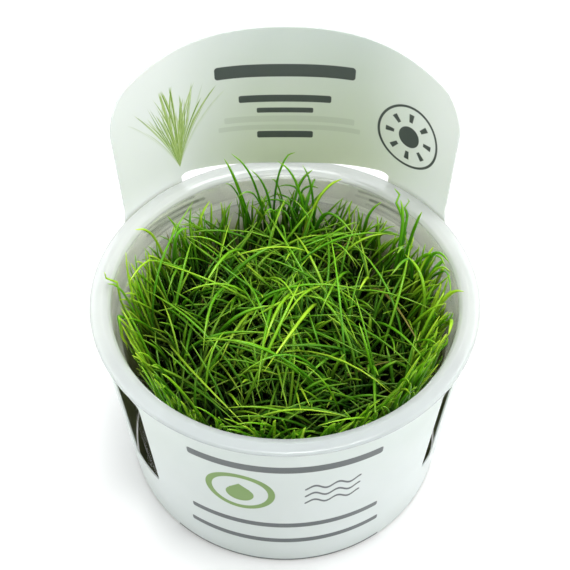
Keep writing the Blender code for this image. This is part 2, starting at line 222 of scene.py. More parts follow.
def makeCup():
    mouth, rim, top = cup["mouthRadius"], cup["rimRadius"], cup["height"]
    wall, ledge, step = cup["wall"], cup["ledgeHeight"], cup["ledgeStep"]
    under = top - cup["flange"]
    shoulder = wallInside(ledge)
    profile = (
        (0.0, cup["floor"]),
        (wallInside(0.0) - 1.2, cup["floor"]),
        (wallInside(2.6), cup["floor"] + 1.4),
        (shoulder, ledge),
        (shoulder + step, ledge + 0.6),
        (mouth - 0.05, under - 0.6),
        (mouth + 0.5, under + 0.5),
        (mouth + 1.7, top),
        (rim - 0.4, top),
        (rim, top - 0.5),
        (rim - 0.4, under),
        (mouth + 1.5, under - 0.1),
        (mouth + wall - 0.1, under - 0.8),
        (shoulder + step + wall, ledge + 0.9),
        (shoulder + wall, ledge - 0.1),
        (cup["baseRadius"], 1.4),
        (cup["baseRadius"] - 1.0, 0.0),
        (0.0, 0.0),
    )
    item = turnProfile("cupShell", roundCorners(profile, cup["cornerReach"], 3), cup["segments"])
    finishPiece(item, clearPolypropyleneMoulded(), ["cup"])


makeCup()
print("cup made")


# The foil sleeve
sleeve = {
    "sheet": 0.35,
    "bottom": 0.4,
    "top": 48.3,
    "shoulderDrop": 1.2,
    "footRadius": 36.6,
    "shoulderRadius": 38.7,
    "tongueRadius": 40.45,
    "hookRadius": 38.0,
    "tongueFlare": 0.3,
    "hookFlare": 1.0,
    "tongueHalfAngle": 60.0,
    "tongueTop": 85.7,
    "tongueArc": 122.0,
    "tongueCorner": 6.5,
    "slotHalfAngle": 36.0,
    "slotBottom": 46.0,
    "slotTop": 50.32,
    "slotRise": 1.3,
    "slotEnd": 2.2,
    "windows": ((-134.5, -120.0), (122.5, 128.5)),
    "windowBottom": 16.0,
    "windowTop": 46.0,
    "windowCorner": 1.6,
    "pitch": 1.5,
    "bodyStops": ((0.3, "#C3CDC8"), (0.7, "#CED7D4")),
    "paintedWallLight": "#F6F9EC",      # painted light: inner side just below the rim, where light comes through
    "shadeTint": "#6A7446",     # painted shade: inner side behind the grass
    "shadeHeights": (26.0, 37.0),
    "tongueShadeTint": "#CBD4BC",    # painted shade and painted green bounce light from the grass, low in the middle of the tongue
    "tintHeights": (48.0, 84.0),
    "edgeLightColour": "#E3EBE7",    # painted light towards the tongue's two edges
    "edgeReach": (8.0, 36.0),
    "darkestAcross": 5.0,
    "divisions": (6, 14, 3, 18),    # below, along and above the windows, and up the tongue
}


def sleeveRadius(angle, height):
    rimHeight = cup["height"]
    share = min(height / rimHeight, 1.0)
    above = max(height - rimHeight, 0.0) / (sleeve["tongueTop"] - rimHeight)
    foot = sleeve["footRadius"]
    front = foot + (sleeve["shoulderRadius"] - foot) * share
    outside = foot + (sleeve["tongueRadius"] - foot) * share + sleeve["tongueFlare"] * above
    hook = foot + (sleeve["hookRadius"] - foot) * share + sleeve["hookFlare"] * above
    back = hook + (outside - hook) * ease(abs(angle) / sleeve["slotHalfAngle"])
    return back + (front - back) * ease((abs(angle) - sleeve["tongueHalfAngle"] - 3.0) / 12.0)


def tongueTop(angle):
    radius, corner, arc = sleeve["tongueRadius"], sleeve["tongueCorner"], sleeve["tongueArc"]
    across = radius * math.radians(min(abs(angle), sleeve["tongueHalfAngle"]))
    height = sleeve["tongueTop"] - arc + math.sqrt(arc ** 2 - across ** 2)
    past = across - (radius * math.radians(sleeve["tongueHalfAngle"]) - corner)
    if past > 0.0:
        height -= corner - math.sqrt(max(corner ** 2 - past ** 2, 0.0))
    return height


def holeShrink(angle, start, end, corner, reach):
    # how far a hole's edges draw in near its ends
    degrees = math.degrees(corner / sleeve["shoulderRadius"])
    past = max(start + degrees - angle, angle - (end - degrees), 0.0)
    share = min(past / degrees, 1.0)
    return min(corner * (1.0 - math.sqrt(1.0 - share * share)), reach)


def windowAt(angle):
    for start, end in sleeve["windows"]:
        if start - 0.01 <= angle <= end + 0.01:
            return start, end
    return None


def sleeveRows(angle):
    low, high, upper = sleeve["windowBottom"], sleeve["windowTop"], sleeve["top"]
    window = windowAt(angle)
    if window:
        shrink = holeShrink(angle, *window, sleeve["windowCorner"], sleeve["windowCorner"])
        low, high = low + shrink, high - shrink
    half, tongueHalf = sleeve["slotHalfAngle"], sleeve["tongueHalfAngle"]
    if abs(angle) <= half:
        shrink = holeShrink(angle, -half, half, sleeve["slotEnd"], 1.5)
        high = sleeve["slotBottom"] + shrink
        upper = sleeve["slotTop"] + sleeve["slotRise"] * (abs(angle) / half) ** 3 - shrink * 0.6
    elif abs(angle) <= tongueHalf:
        high, upper = sleeve["slotBottom"], sleeve["slotTop"] + sleeve["slotRise"]
    elif abs(angle) < tongueHalf + 10.0:
        upper -= sleeve["shoulderDrop"]
    marks = [sleeve["bottom"], low, high, upper]
    if abs(angle) <= tongueHalf:
        marks.append(tongueTop(angle))
    rows = [marks[0]]
    for start, end, count in zip(marks, marks[1:], sleeve["divisions"]):
        rows += [start + (end - start) * (step + 1) / count for step in range(count)]
    return rows


def sleeveAngles():
    fixed = set()
    slotCorner = math.degrees(sleeve["slotEnd"] / sleeve["shoulderRadius"])
    for side in (-1, 1):
        fixed |= {side * (sleeve["tongueHalfAngle"] - step) for step in (0.0, 0.2, 0.7, 1.5, 2.7, 4.5, 6.5)}
        fixed |= {side * (sleeve["tongueHalfAngle"] + step) for step in (2.0, 7.0, 11.0)}
        fixed |= {side * (sleeve["slotHalfAngle"] - slotCorner * step) for step in (0, 0.05, 0.2, 0.5, 1)}
    windowCorner = math.degrees(sleeve["windowCorner"] / sleeve["shoulderRadius"])
    for start, end in sleeve["windows"]:
        for step in (0, 0.07, 0.25, 0.55, 1):
            fixed |= {start + windowCorner * step, end - windowCorner * step}
    even = [-180 + sleeve["pitch"] * i for i in range(round(360 / sleeve["pitch"]))]
    clear = [angle for angle in even if min(abs(angle - edge) for edge in fixed) > 0.45 * sleeve["pitch"]]
    return sorted(list(fixed) + clear)


printMarks = {
    "ink": "#4C5455",
    "leafInk": "#6B8E3C",
    "softness": 0.12,
    # plain rules on the tongue and on the front: centre across and up, half length, half height
    "tongueRules": ((0.0, 75.4, 15.5, 1.5), (0.0, 68.3, 10.5, 0.85), (0.0, 65.2, 6.5, 0.6), (0.0, 58.6, 6.6, 0.85)),
    "frontRules": ((0.0, 42.5, 19.0, 1.1), (0.0, 18.5, 20.5, 0.9), (0.0, 11.0, 21.5, 0.9),
                   (-2.0, 0.7, 25.0, 0.28)),
    # small print low inside the cup and print from the other side that shows through, in the same terms
    "innerRules": ((-31.0, 43.7, 8.0, 0.36), (-29.5, 42.1, 9.0, 0.36), (-31.0, 40.5, 7.0, 0.36),
                   (25.0, 43.7, 6.5, 0.34), (27.0, 42.1, 5.5, 0.34)),
    "faintRules": ((1.0, 62.9, 15.0, 0.75), (1.0, 60.6, 16.5, 0.6), (2.0, 44.2, 14.0, 0.6)),
    "innerStrength": 0.7,
    "faintStrength": 0.13,
    "ruleCorner": 0.45,       # of a rule's half height
    "sun": (29.3, 64.0),
    "drop": (-9.0, 32.0),
    "waves": (9.5, 32.0),
    "tuft": (-25.5, 53.5),
    "grassStops": ((0.48, "#B4C878"), (0.75, "#5C8430")),
}


def blockMask(tree, place, centre, half, corner=0.0):
    # 1 inside a block with rounded corners, 0 outside, on a flat place in millimetres
    shifted = addNode(tree, "ShaderNodeVectorMath", {"operation": "SUBTRACT"}, {0: place, 1: (*centre, 0.0)})
    folded = addNode(tree, "ShaderNodeVectorMath", {"operation": "ABSOLUTE"}, {0: shifted.outputs[0]})
    inner = (half[0] - corner, half[1] - corner, 0.0)
    past = addNode(tree, "ShaderNodeVectorMath", {"operation": "SUBTRACT"}, {0: folded.outputs[0], 1: inner})
    outside = addNode(tree, "ShaderNodeVectorMath", {"operation": "MAXIMUM"}, {0: past.outputs[0], 1: (0, 0, 0)})
    distance = addNode(tree, "ShaderNodeVectorMath", {"operation": "LENGTH"}, {0: outside.outputs[0]})
    soft = printMarks["softness"]
    return addNode(tree, "ShaderNodeMapRange", None, {
        "Value": distance.outputs["Value"], "From Min": corner, "From Max": corner + soft,
        "To Min": 1.0, "To Max": 0.0}).outputs[0]


def ringMask(tree, place, centre, radius, halfLine):
    # 1 on a ring; with halfLine as large as radius it is a disc
    shifted = addNode(tree, "ShaderNodeVectorMath", {"operation": "DISTANCE"}, {0: place, 1: (*centre, 0.0)})
    off = addNode(tree, "ShaderNodeMath", {"operation": "SUBTRACT"}, {0: shifted.outputs["Value"], 1: radius})
    apart = addNode(tree, "ShaderNodeMath", {"operation": "ABSOLUTE"}, {0: off.outputs[0]})
    soft = printMarks["softness"]
    return addNode(tree, "ShaderNodeMapRange", None, {
        "Value": apart.outputs[0], "From Min": halfLine - soft, "From Max": halfLine,
        "To Min": 1.0, "To Max": 0.0}).outputs[0]


def combine(tree, operation, masks):
    total = masks[0]
    for mask in masks[1:]:
        total = addNode(tree, "ShaderNodeMath", {"operation": operation}, {0: total, 1: mask}).outputs[0]
    return total


def sunMask(tree, place, centre):
    # a disc with eight short rays
    shifted = addNode(tree, "ShaderNodeVectorMath", {"operation": "SUBTRACT"}, {0: place, 1: (*centre, 0.0)})
    parts = addNode(tree, "ShaderNodeSeparateXYZ", None, {0: shifted.outputs[0]})
    turn = addNode(tree, "ShaderNodeMath", {"operation": "ARCTAN2"}, {0: parts.outputs[1], 1: parts.outputs[0]})
    eighths = addNode(tree, "ShaderNodeMath", {"operation": "MULTIPLY"}, {0: turn.outputs[0], 1: 8.0})
    beams = addNode(tree, "ShaderNodeMath", {"operation": "COSINE"}, {0: eighths.outputs[0]})
    rays = addNode(tree, "ShaderNodeMapRange", None,
                   {"Value": beams.outputs[0], "From Min": 0.55, "From Max": 0.75})
    band = ringMask(tree, place, centre, 4.9, 1.1)
    return combine(tree, "MAXIMUM", [ringMask(tree, place, centre, 0.0, 2.7),
                                     combine(tree, "MULTIPLY", [rays.outputs[0], band])])


def dropMask(tree, place, centre, radius):
    # a disc and a square on its corner together make a drop with its point up
    disc = ringMask(tree, place, centre, 0.0, radius)
    turned = addNode(tree, "ShaderNodeVectorRotate", {"rotation_type": "Z_AXIS"},
                     {"Vector": place, "Center": (*centre, 0.0), "Angle": math.radians(-45)})
    corner = (centre[0] + radius / 2, centre[1] + radius / 2)
    return combine(tree, "MAXIMUM", [disc, blockMask(tree, turned.outputs[0], corner, (radius / 2, radius / 2))])


def wavesMask(tree, place, centre):
    # three wavy lines, as on many labels for water
    parts = addNode(tree, "ShaderNodeSeparateXYZ", None, {0: place})
    swing = addNode(tree, "ShaderNodeMath", {"operation": "MULTIPLY"}, {0: parts.outputs[0], 1: 1.35})
    sine = addNode(tree, "ShaderNodeMath", {"operation": "SINE"}, {0: swing.outputs[0]})
    lift = addNode(tree, "ShaderNodeMath", {"operation": "MULTIPLY_ADD"},
                   {0: sine.outputs[0], 1: -0.7, 2: parts.outputs[1]})
    level = addNode(tree, "ShaderNodeCombineXYZ", None, {0: parts.outputs[0], 1: lift.outputs[0]})
    lines = [blockMask(tree, level.outputs[0], (centre[0], centre[1] + rise), (5.6, 0.32), 0.3)
             for rise in (-2.9, 0.0, 2.9)]
    return combine(tree, "MAXIMUM", lines)


def tuftPicture(tree, place, centre):
    # a fan of fine strokes that spread from one point, as a printed picture of grass
    shifted = addNode(tree, "ShaderNodeVectorMath", {"operation": "SUBTRACT"}, {0: place, 1: (*centre, 0.0)})
    parts = addNode(tree, "ShaderNodeSeparateXYZ", None, {0: shifted.outputs[0]})
    away = addNode(tree, "ShaderNodeVectorMath", {"operation": "LENGTH"}, {0: shifted.outputs[0]}).outputs["Value"]
    turn = addNode(tree, "ShaderNodeMath", {"operation": "ARCTAN2"},
                   {0: parts.outputs[0], 1: parts.outputs[1]}).outputs[0]
    masks, shades = [], []
    for seed, bend in ((3.0, 0.009), (11.0, -0.010), (23.0, 0.002)):
        bent = addNode(tree, "ShaderNodeMath", {"operation": "MULTIPLY_ADD"}, {0: away, 1: bend, 2: turn})
        stroke = addNode(tree, "ShaderNodeTexNoise", {"noise_dimensions": "2D"}, {
            "Vector": addNode(tree, "ShaderNodeCombineXYZ", None,
                              {0: bent.outputs[0], 1: seed}).outputs[0],
            "Scale": 44.0, "Detail": 1.5})
        length = addNode(tree, "ShaderNodeTexNoise", {"noise_dimensions": "2D"}, {
            "Vector": addNode(tree, "ShaderNodeCombineXYZ", None,
                              {0: bent.outputs[0], 1: seed + 40.0}).outputs[0],
            "Scale": 17.0, "Detail": 0.0})
        reach = addNode(tree, "ShaderNodeMapRange", None, {
            "Value": length.outputs[0], "From Min": 0.25, "From Max": 0.75, "To Min": 7.0, "To Max": 22.0})
        short = addNode(tree, "ShaderNodeMath", {"operation": "SUBTRACT"}, {0: reach.outputs[0], 1: away})
        inside = addNode(tree, "ShaderNodeMapRange", None,
                         {"Value": short.outputs[0], "From Min": 0.0, "From Max": 1.5})
        narrow = addNode(tree, "ShaderNodeMath", {"operation": "ABSOLUTE"}, {0: bent.outputs[0]})
        fan = addNode(tree, "ShaderNodeMapRange", None, {
            "Value": narrow.outputs[0], "From Min": 0.24, "From Max": 0.42, "To Min": 1.0, "To Max": 0.0})
        line = addNode(tree, "ShaderNodeMapRange", None,
                       {"Value": stroke.outputs[0], "From Min": 0.41, "From Max": 0.52})
        masks.append(combine(tree, "MULTIPLY", [inside.outputs[0], fan.outputs[0], line.outputs[0]]))
        shades.append(stroke.outputs[0])
    return combine(tree, "MAXIMUM", masks), combine(tree, "MAXIMUM", shades), parts.outputs[1]


def polypropyleneFilmPrinted():
    # White polypropylene film, calendered and printed: satin and lets some light through. Its inner side carries
    # painted light below the rim and at the tongue's edges, and painted shade with green from the grass low in the
    # tongue's middle and behind the grass
    material, tree, shader = startMaterial("polypropyleneFilmPrinted", {
        "IOR": 1.49,
        "Subsurface Weight": 0.8,
        "Subsurface Radius": (1.0, 1.0, 0.9),
        "Subsurface Scale": 1.2 * mm,
        "Specular IOR Level": 0.4,
    })
    coordinates = addNode(tree, "ShaderNodeTexCoord").outputs["Object"]
    parts = addNode(tree, "ShaderNodeSeparateXYZ", None, {0: coordinates})
    x, y, z = parts.outputs
    up = addNode(tree, "ShaderNodeMath", {"operation": "MULTIPLY"}, {0: z, 1: 1 / mm}).outputs[0]
    turnBack = addNode(tree, "ShaderNodeMath", {"operation": "ARCTAN2"}, {0: x, 1: y}).outputs[0]
    minusY = addNode(tree, "ShaderNodeMath", {"operation": "MULTIPLY"}, {0: y, 1: -1.0}).outputs[0]
    turnFront = addNode(tree, "ShaderNodeMath", {"operation": "ARCTAN2"}, {0: x, 1: minusY}).outputs[0]
    places = []
    for turn, radius in ((turnBack, sleeve["tongueRadius"]), (turnFront, sleeve["shoulderRadius"])):
        across = addNode(tree, "ShaderNodeMath", {"operation": "MULTIPLY"}, {0: turn, 1: radius}).outputs[0]
        places.append(addNode(tree, "ShaderNodeCombineXYZ", None, {0: across, 1: up}).outputs[0])
    tongue, front = places

    # the side that a point is on: the normal points away from the axis on the outer side
    geometry = addNode(tree, "ShaderNodeNewGeometry")
    flat = addNode(tree, "ShaderNodeVectorMath", {"operation": "MULTIPLY"},
                   {0: geometry.outputs["Position"], 1: (1.0, 1.0, 0.0)})
    facing = addNode(tree, "ShaderNodeVectorMath", {"operation": "DOT_PRODUCT"},
                     {0: geometry.outputs["Normal"], 1: flat.outputs[0]})
    outer = addNode(tree, "ShaderNodeMath", {"operation": "GREATER_THAN"},
                    {0: facing.outputs["Value"], 1: 0.0}).outputs[0]
    tongueInk = addNode(tree, "ShaderNodeMapRange", None,
                        {"Value": outer, "To Min": 1.0, "To Max": 0.12}).outputs[0]
    frontInk = addNode(tree, "ShaderNodeMapRange", None,
                       {"Value": outer, "To Min": 0.12, "To Max": 1.0}).outputs[0]

    # painted light and shade on the inner side: greener low in the middle of the tongue, whiter towards its edges,
    # lighter below the rim, dark behind the grass
    drift = addNode(tree, "ShaderNodeTexNoise", None,
                    {"Vector": coordinates, "Scale": 1 / (30 * mm), "Detail": 2.0})
    body = setStops(addNode(tree, "ShaderNodeValToRGB", None, {0: drift.outputs[0]}), sleeve["bodyStops"])

    side = addNode(tree, "ShaderNodeSeparateXYZ", None, {0: tongue}).outputs[0]
    side = addNode(tree, "ShaderNodeMath", {"operation": "SUBTRACT"}, {0: side, 1: sleeve["darkestAcross"]})
    spread = addNode(tree, "ShaderNodeMath", {"operation": "ABSOLUTE"}, {0: side.outputs[0]}).outputs[0]
    nearEdge = addNode(tree, "ShaderNodeMapRange", {"interpolation_type": "SMOOTHSTEP"}, {
        "Value": spread, "From Min": sleeve["edgeReach"][0], "From Max": sleeve["edgeReach"][1]}).outputs[0]
    low = addNode(tree, "ShaderNodeMapRange", None, {
        "Value": up, "From Min": sleeve["tintHeights"][0], "From Max": sleeve["tintHeights"][1],
        "To Min": 0.9, "To Max": 0.0}).outputs[0]
    inside = addNode(tree, "ShaderNodeMath", {"operation": "SUBTRACT"}, {0: 1.0, 1: outer}).outputs[0]
    inMiddle = addNode(tree, "ShaderNodeMath", {"operation": "SUBTRACT"}, {0: 1.0, 1: nearEdge}).outputs[0]
    belowRim = addNode(tree, "ShaderNodeMapRange", None, {
        "Value": up, "From Min": cup["height"] - 1.5, "From Max": cup["height"] - 0.5,
        "To Min": 1.0, "To Max": 0.0}).outputs[0]
    aboveRim = addNode(tree, "ShaderNodeMath", {"operation": "SUBTRACT"}, {0: 1.0, 1: belowRim}).outputs[0]
    shade = addNode(tree, "ShaderNodeMapRange", {"interpolation_type": "SMOOTHSTEP"}, {
        "Value": up, "From Min": sleeve["shadeHeights"][0], "From Max": sleeve["shadeHeights"][1],
        "To Min": 1.0, "To Max": 0.0}).outputs[0]
    for weights, colour in (((inside, aboveRim, nearEdge), "edgeLightColour"),
                            ((inside, aboveRim, inMiddle, low), "tongueShadeTint"),
                            ((inside, belowRim), "paintedWallLight"),
                            ((inside, shade), "shadeTint")):
        body = addNode(tree, "ShaderNodeMix", {"data_type": "RGBA"}, {
            0: combine(tree, "MULTIPLY", weights), 6: body, 7: toLinear(sleeve[colour])}).outputs[2]

    ink = combine(tree, "MAXIMUM", [
        *(blockMask(tree, tongue, rule[:2], rule[2:], rule[3] * printMarks["ruleCorner"]) for rule in printMarks["tongueRules"]),
        sunMask(tree, tongue, printMarks["sun"]),
        ringMask(tree, tongue, printMarks["sun"], 7.6, 0.35),
    ])
    ink = combine(tree, "MULTIPLY", [ink, tongueInk])
    for rules, strength in (("innerRules", "innerStrength"), ("faintRules", "faintStrength")):
        marks = combine(tree, "MAXIMUM", [blockMask(tree, tongue, rule[:2], rule[2:], 0.2)
                                          for rule in printMarks[rules]])
        marks = combine(tree, "MULTIPLY", [marks, inside])
        faded = addNode(tree, "ShaderNodeMath", {"operation": "MULTIPLY"}, {0: marks, 1: printMarks[strength]})
        ink = combine(tree, "MAXIMUM", [ink, faded.outputs[0]])
    frontMarks = combine(tree, "MAXIMUM", [
        *(blockMask(tree, front, rule[:2], rule[2:], rule[3] * printMarks["ruleCorner"]) for rule in printMarks["frontRules"]),
        wavesMask(tree, front, printMarks["waves"]),
    ])
    ink = combine(tree, "MAXIMUM", [ink, combine(tree, "MULTIPLY", [frontMarks, frontInk])])
    body = addNode(tree, "ShaderNodeMix", {"data_type": "RGBA"},
                   {0: ink, 6: body, 7: toLinear(printMarks["ink"])}).outputs[2]
    leafMarks = combine(tree, "MAXIMUM", [
        dropMask(tree, front, (printMarks["drop"][0], printMarks["drop"][1] - 0.9), 2.9),
        ringMask(tree, front, printMarks["drop"], 6.4, 0.75),
    ])
    body = addNode(tree, "ShaderNodeMix", {"data_type": "RGBA"}, {
        0: combine(tree, "MULTIPLY", [leafMarks, frontInk]), 6: body, 7: toLinear(printMarks["leafInk"])}).outputs[2]

    strokes, strength, height = tuftPicture(tree, tongue, printMarks["tuft"])
    greens = setStops(addNode(tree, "ShaderNodeValToRGB", None, {0: strength}), printMarks["grassStops"])
    above = addNode(tree, "ShaderNodeMapRange", None, {"Value": height, "From Min": -0.6, "From Max": 0.6})
    strokes = combine(tree, "MULTIPLY", [strokes, above.outputs[0], tongueInk])
    body = addNode(tree, "ShaderNodeMix", {"data_type": "RGBA"},
                   {0: strokes, 6: body, 7: greens}).outputs[2]
    tree.links.new(body, shader.inputs["Base Color"])

    # satin grain of the film, about 0.4 mm, and slow handling marks in its gloss
    grain = addNode(tree, "ShaderNodeTexNoise", None,
                    {"Vector": coordinates, "Scale": 1 / (0.4 * mm), "Detail": 2.0})
    marks = addNode(tree, "ShaderNodeTexNoise", None,
                    {"Vector": coordinates, "Scale": 1 / (14 * mm), "Detail": 5.0})
    rough = addNode(tree, "ShaderNodeMapRange", None, {
        "Value": marks.outputs[0], "From Min": 0.3, "From Max": 0.7, "To Min": 0.3, "To Max": 0.46})
    tree.links.new(rough.outputs[0], shader.inputs["Roughness"])
    bump = addNode(tree, "ShaderNodeBump", None,
                   {"Height": grain.outputs[0], "Strength": 0.12, "Distance": 0.03 * mm})
    tree.links.new(bump.outputs[0], shader.inputs["Normal"])
    return material


def makeSleeve():
    angles = sleeveAngles()
    net = bmesh.new()
    columns = []
    for angle in angles:
        turn = math.radians(angle)
        column = []
        for height in sleeveRows(angle):
            radius = sleeveRadius(angle, height)
            column.append(net.verts.new(Vector((radius * math.sin(turn), radius * math.cos(turn), height)) * mm))
        columns.append(column)
    below, along, above, _ = sleeve["divisions"]
    for index, angle in enumerate(angles):
        after = (index + 1) % len(angles)
        middle = 0.5 * (angle + (angles[after] if after else 180.0))
        left, right = columns[index], columns[after]
        for row in range(min(len(left), len(right)) - 1):
            inWindow = windowAt(middle) and below <= row < below + along
            inSlot = abs(middle) < sleeve["slotHalfAngle"] and below + along <= row < below + along + above
            if not inWindow and not inSlot:
                net.faces.new((left[row + 1], right[row + 1], right[row], left[row]))
    loose = [vert for vert in net.verts if not vert.link_faces]
    bmesh.ops.delete(net, geom=loose, context="VERTS")
    surface = bpy.data.meshes.new("sleeveSurface")
    net.to_mesh(surface)
    net.free()
    item = newObject("sleeveFoil", surface)
    shell = item.modifiers.new("Sheet", "SOLIDIFY")
    shell.thickness = sleeve["sheet"] * mm
    shell.offset = 1.0
    mesh = bpy.data.meshes.new_from_object(item.evaluated_get(bpy.context.evaluated_depsgraph_get()))
    item.modifiers.clear()
    item.data = mesh
    mesh.shade_smooth()
    mesh.set_sharp_from_angle(angle=math.radians(40))
    finishPiece(item, polypropyleneFilmPrinted(), ["foil_sleeve"])


makeSleeve()
print("sleeve made")


# The nutrient gel
gel = {
    "gap": 0.3,
    "top": 14.0,
    "ripple": 0.25,
    "rings": 8,
    "segments": 96,
    # dark olive: the agar's own brownish tint, darkened with painted shade
    "stops": ((0.35, "#4E4F2C"), (0.65, "#6C6D3E")),
}


def agarSet():
    # Agar, poured and set: cloudy and wet, with a smooth shiny top and pale root threads in it
    material, tree, shader = startMaterial("agarSet", {
        "IOR": 1.34,
        "Subsurface Weight": 0.7,
        "Subsurface Radius": (1.0, 0.95, 0.7),
        "Subsurface Scale": 4 * mm,
        "Coat Weight": 0.3,
        "Coat Roughness": 0.05,
    })
    place = addNode(tree, "ShaderNodeTexCoord").outputs["Object"]
    cloud = addNode(tree, "ShaderNodeTexNoise", None, {"Vector": place, "Scale": 1 / (8 * mm), "Detail": 4.0})
    tint = setStops(addNode(tree, "ShaderNodeValToRGB", None, {0: cloud.outputs[0]}), gel["stops"])
    threads = addNode(tree, "ShaderNodeTexVoronoi", {"feature": "DISTANCE_TO_EDGE"},
                      {"Vector": place, "Scale": 1 / (3.2 * mm)})
    thread = addNode(tree, "ShaderNodeMapRange", None, {
        "Value": threads.outputs[0], "From Min": 0.02, "From Max": 0.07, "To Min": 0.7, "To Max": 0.0})
    colour = addNode(tree, "ShaderNodeMix", {"data_type": "RGBA"},
                     {0: thread.outputs[0], 6: tint, 7: toLinear("#A8A680")})
    tree.links.new(colour.outputs[2], shader.inputs["Base Color"])
    rough = addNode(tree, "ShaderNodeMapRange", None, {
        "Value": cloud.outputs[0], "From Min": 0.3, "From Max": 0.7, "To Min": 0.08, "To Max": 0.2})
    tree.links.new(rough.outputs[0], shader.inputs["Roughness"])
    return material


def makeGel():
    bottom = cup["floor"] + gel["gap"]
    edge = wallInside(gel["top"]) - 2.2
    profile = [(edge * i / gel["rings"], gel["top"]) for i in range(gel["rings"] + 1)]
    profile += [
        (wallInside(gel["top"]) - gel["gap"], gel["top"] + 0.7),
        (wallInside(4.0) - gel["gap"], bottom + 1.6),
        (wallInside(0.0) - 1.2 - gel["gap"], bottom),
        (0.0, bottom),
    ]
    item = turnProfile("agarGel", profile, gel["segments"])
    for vert in item.data.vertices:
        if vert.co.z > (gel["top"] - 0.1) * mm:
            vert.co.z += gel["ripple"] * mm * (noise.noise(vert.co / (6 * mm)) - 0.5)
    finishPiece(item, agarSet(), ["nutrient_gel"])


makeGel()
print("gel made")


# The grass
grass = {
    "seed": 21,
    "rings": 13,
    "sides": 4,
    "mainRadius": (0.34, 0.48),
    "fineRadius": (0.29, 0.45),
    "tipShare": 0.16,
    "taper": 6.0,
    "siblings": (1, 2),       # thinner blades that follow each main one, and each tall main one
    "tallTip": 48.0,
    "siblingSpread": (0.1, 0.2),    # of the blade's length
    "sway": 0.3,              # how far a blade bends sideways, of its reach
    # further blades of each tuft: how many, reach, height of the tip, how far out and how high the bend is
    "leaning": (6, (10.0, 26.0), (33.0, 46.0), (0.2, 0.5), (0.75, 1.0)),
    "arching": (5, (16.0, 38.0), (32.0, 44.0), (0.15, 0.4), (1.0, 1.35)),
    "crossing": (2, (28.0, 50.0), (36.0, 46.0), (0.25, 0.5), (1.1, 1.4)),
    "low": (10, (3.0, 15.0), (20.0, 31.0), (0.05, 0.5), (0.6, 1.0)),
    "tuftHeight": (0.86, 1.08),    # how much taller or lower one whole tuft is than the next
    "tuftTone": 0.16,
    "litFrom": 31.5,
    "litReach": 13.0,
    "litTone": 0.3,
    "outer": (22, (31.5, 34.8), (38.0, 50.0), 36.0, 21.0),    # count, radius, tip height, spread, from radius
    # hollows in the canopy: centre across and back, radius
    "hollows": ((-26.0, -8.0, 9.0), (26.0, 0.0, 9.0), (8.0, -11.0, 7.0), (-12.0, 1.0, 7.0), (-18.0, -20.0, 7.0)),
    "hollowDrop": 12.0,
    "backHeight": 45.0,
    "farthestTip": 34.3,
    "rootSpread": 1.6,
    "rootHeight": 14.2,
    "wallClearance": 0.7,
    "deadShare": 0.008,
    "roots": 9,
    "rootReach": (3.0, 7.0),
    "rootDepth": (4.0, 11.0),
    "rootRadius": 0.11,
    "alongStops": ((0.0, "#4F5A22"), (0.12, "#284A0E"), (0.4, "#3C860E"), (0.75, "#72B818"), (1.0, "#B0D840")),
    "toneStops": ((0.0, "#1E6A06"), (0.5, "#64B00C"), (1.0, "#CFF03C")),
    "toneShape": (1.1, 1.5),
    "deepShadeColour": "#061A03",
    "deepHeights": (29.0, 46.0),
}


